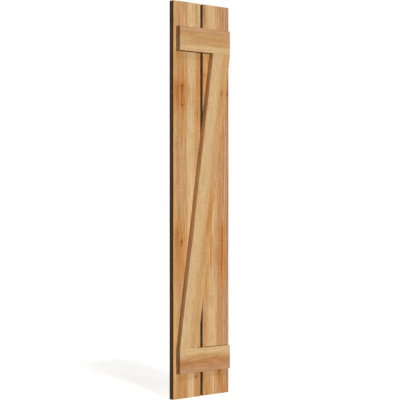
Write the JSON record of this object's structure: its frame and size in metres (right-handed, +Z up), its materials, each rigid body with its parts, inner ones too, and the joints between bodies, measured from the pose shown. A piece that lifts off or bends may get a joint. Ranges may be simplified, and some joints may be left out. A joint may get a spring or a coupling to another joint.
{
  "type": "board and batten shutter",
  "caption": "Tall wooden wall shutter of spaced upright boards, crossed by level battens near the ends and a diagonal brace seated corner to corner between them.",
  "frame": {"origin": "middle of the left board's back face, on the wall plane at half height", "axes": "+X to the right of a viewer who faces the front, +Y into the wall, +Z up along the boards"},
  "size_m": [0.2857, 0.041, 1.44],
  "materials": {
    "board_cedar": "unfinished, sawn face",
    "batten_cedar": "unfinished, sawn face"
  },
  "bodies": {
    "root": {"left_board": "board_cedar", "right_board": "board_cedar", "top_batten": "batten_cedar", "bottom_batten": "batten_cedar", "diagonal_brace": "batten_cedar"}
  },
  "joints": []
}
